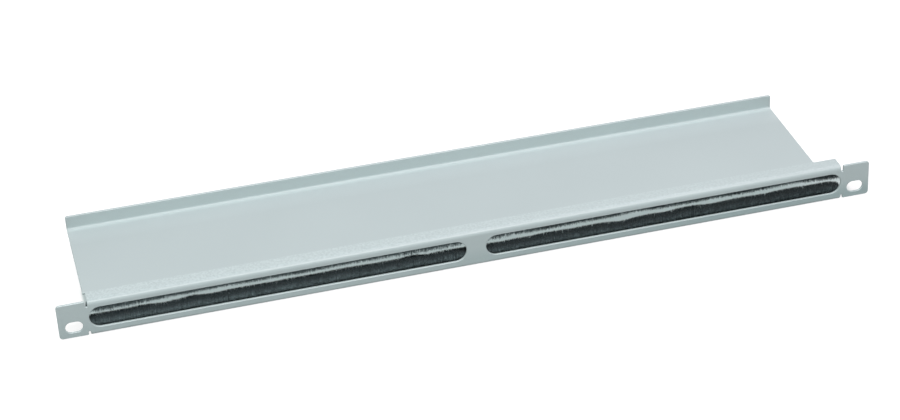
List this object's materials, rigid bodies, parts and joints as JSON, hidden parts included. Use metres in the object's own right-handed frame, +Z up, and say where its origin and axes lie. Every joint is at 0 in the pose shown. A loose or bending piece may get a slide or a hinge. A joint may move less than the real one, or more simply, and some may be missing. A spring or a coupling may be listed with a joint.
{
  "type": "rack cable entry panel",
  "caption": "Low folded sheet-steel rack panel with slotted ears, long brush-filled cable openings in its front plate, a rear cable deck and an upright rear flange",
  "frame": {"origin": "Midway between the two screw slots in the ears, on the ears' rear face, which lies against the rack's rails.", "axes": "+X along the panel, to the right as seen from the front; +Y into the rack; +Z up."},
  "size_m": [0.4826, 0.0822, 0.0309],
  "materials": {
    "coated_steel": "satin powder coat",
    "adhesive_tape": "matte foam",
    "brush_backing": "matte",
    "bristles": "matte fibre"
  },
  "bodies": {
    "root": {"panel": "coated_steel", "lower_tape": "adhesive_tape", "lower_backing": "brush_backing", "lower_bristles": "bristles", "upper_tape": "adhesive_tape", "upper_backing": "brush_backing", "upper_bristles": "bristles"}
  },
  "joints": []
}
